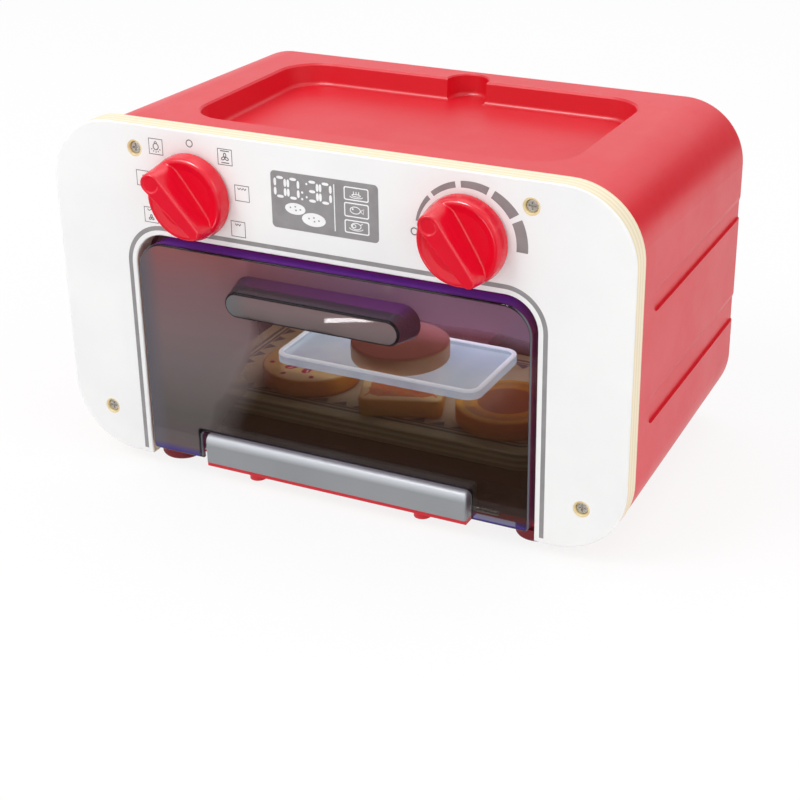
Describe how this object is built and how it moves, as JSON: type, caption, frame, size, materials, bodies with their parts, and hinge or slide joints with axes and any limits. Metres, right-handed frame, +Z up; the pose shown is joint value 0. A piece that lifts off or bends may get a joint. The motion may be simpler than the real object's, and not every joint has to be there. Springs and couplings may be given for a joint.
{
  "type": "toy oven",
  "caption": "Toy oven: white plywood front with turning knobs and a drop-down smoky door, red moulded body with a tray recess on top, baking tray and lit shelf inside",
  "frame": {"origin": "centre of the overall box on the surface that the feet stand on", "axes": "+X to the oven's right as seen from the front, +Y to the back, +Z up"},
  "size_m": [0.314, 0.2085, 0.1905],
  "materials": {
    "panel_wood": "painted satin",
    "steel": "nickel plated",
    "shell_red": "satin",
    "foot_red": "matte",
    "bar_grey": "satin",
    "liner_plastic": "satin",
    "inner_plastic": "natural",
    "board_green": "solder mask",
    "chip_black": "matte",
    "slider_black": "gloss",
    "spring_steel": "plain",
    "cell_jacket": "printed foil",
    "led_lens": "clear",
    "shelf_clear": "clear, lit at its edge",
    "door_tint": "smoky see-through",
    "handle_tint": "smoky see-through",
    "knob_red": "gloss",
    "brass": "plain",
    "tray_wood": "clear varnish",
    "biscuit_drops": "painted",
    "biscuit_waffle": "painted",
    "biscuit_sun": "painted",
    "biscuit_shelf": "painted"
  },
  "bodies": {
    "oven": {"front_panel": "panel_wood", "panel_screws": "steel", "body_shell": "shell_red", "feet": "foot_red", "hinge_bar": "bar_grey", "hinge_bar_screws": "steel", "hinge_pins": "steel", "cavity_liner": "liner_plastic", "liner_screws": "steel", "knob_carrier": "inner_plastic", "carrier_screws": "steel", "circuit_board": "board_green", "board_chips": "chip_black", "board_screws": "steel", "detent_springs": "spring_steel", "speaker": "chip_black", "switch_body": "chip_black", "battery_box": "inner_plastic", "batteries": "cell_jacket", "battery_contacts": "spring_steel", "battery_cover": "shell_red", "battery_cover_screw": "steel", "light_arm": "liner_plastic", "arm_screws": "steel", "led_board": "board_green", "leds": "led_lens", "light_shelf": "shelf_clear"},
    "door": {"door_panel": "door_tint", "door_handle": "handle_tint"},
    "left_dial": {"left_knob": "knob_red", "left_detent_wheel": "inner_plastic", "left_wiper": "brass", "left_knob_screw": "steel"},
    "right_dial": {"right_knob": "knob_red", "right_detent_wheel": "inner_plastic", "right_wiper": "brass", "right_knob_screw": "steel"},
    "power_slider": {"switch_slider": "slider_black"},
    "tray_body": {"tray": "tray_wood"},
    "drops": {"biscuit_drops": "biscuit_drops"},
    "waffle": {"biscuit_waffle": "biscuit_waffle"},
    "sun": {"biscuit_sun": "biscuit_sun"},
    "lit_biscuit": {"biscuit_shelf": "biscuit_shelf"}
  },
  "joints": [
    {"name": "door_hinge", "type": "hinge", "parent": "oven", "child": "door", "pos_m": [0, -0.0762, 0.015], "axis": [1, 0, 0], "range_deg": [0, 84]},
    {"name": "left_knob_turn", "type": "hinge", "parent": "oven", "child": "left_dial", "pos_m": [-0.0738, -0.0812, 0.158], "axis": [0, 1, 0], "range_deg": [-76, 158]},
    {"name": "right_knob_turn", "type": "hinge", "parent": "oven", "child": "right_dial", "pos_m": [0.0738, -0.0812, 0.158], "axis": [0, 1, 0], "range_deg": [-52, 125]},
    {"name": "power_switch_slide", "type": "slide", "parent": "oven", "child": "power_slider", "axis": [1, 0, 0], "range_m": [0, 0.006]},
    {"name": "tray_slide", "type": "slide", "parent": "oven", "child": "tray_body", "axis": [0, -1, 0], "range_m": [-0.021, 0.015]},
    {"name": "drops_lift", "type": "slide", "parent": "tray_body", "child": "drops", "axis": [0, 0, 1], "range_m": [0, 0.0025]},
    {"name": "waffle_lift", "type": "slide", "parent": "tray_body", "child": "waffle", "axis": [0, 0, 1], "range_m": [0, 0.0025]},
    {"name": "sun_lift", "type": "slide", "parent": "tray_body", "child": "sun", "axis": [0, 0, 1], "range_m": [0, 0.0025]},
    {"name": "lit_biscuit_lift", "type": "slide", "parent": "oven", "child": "lit_biscuit", "axis": [0, 0, 1], "range_m": [0, 0.06]}
  ]
}
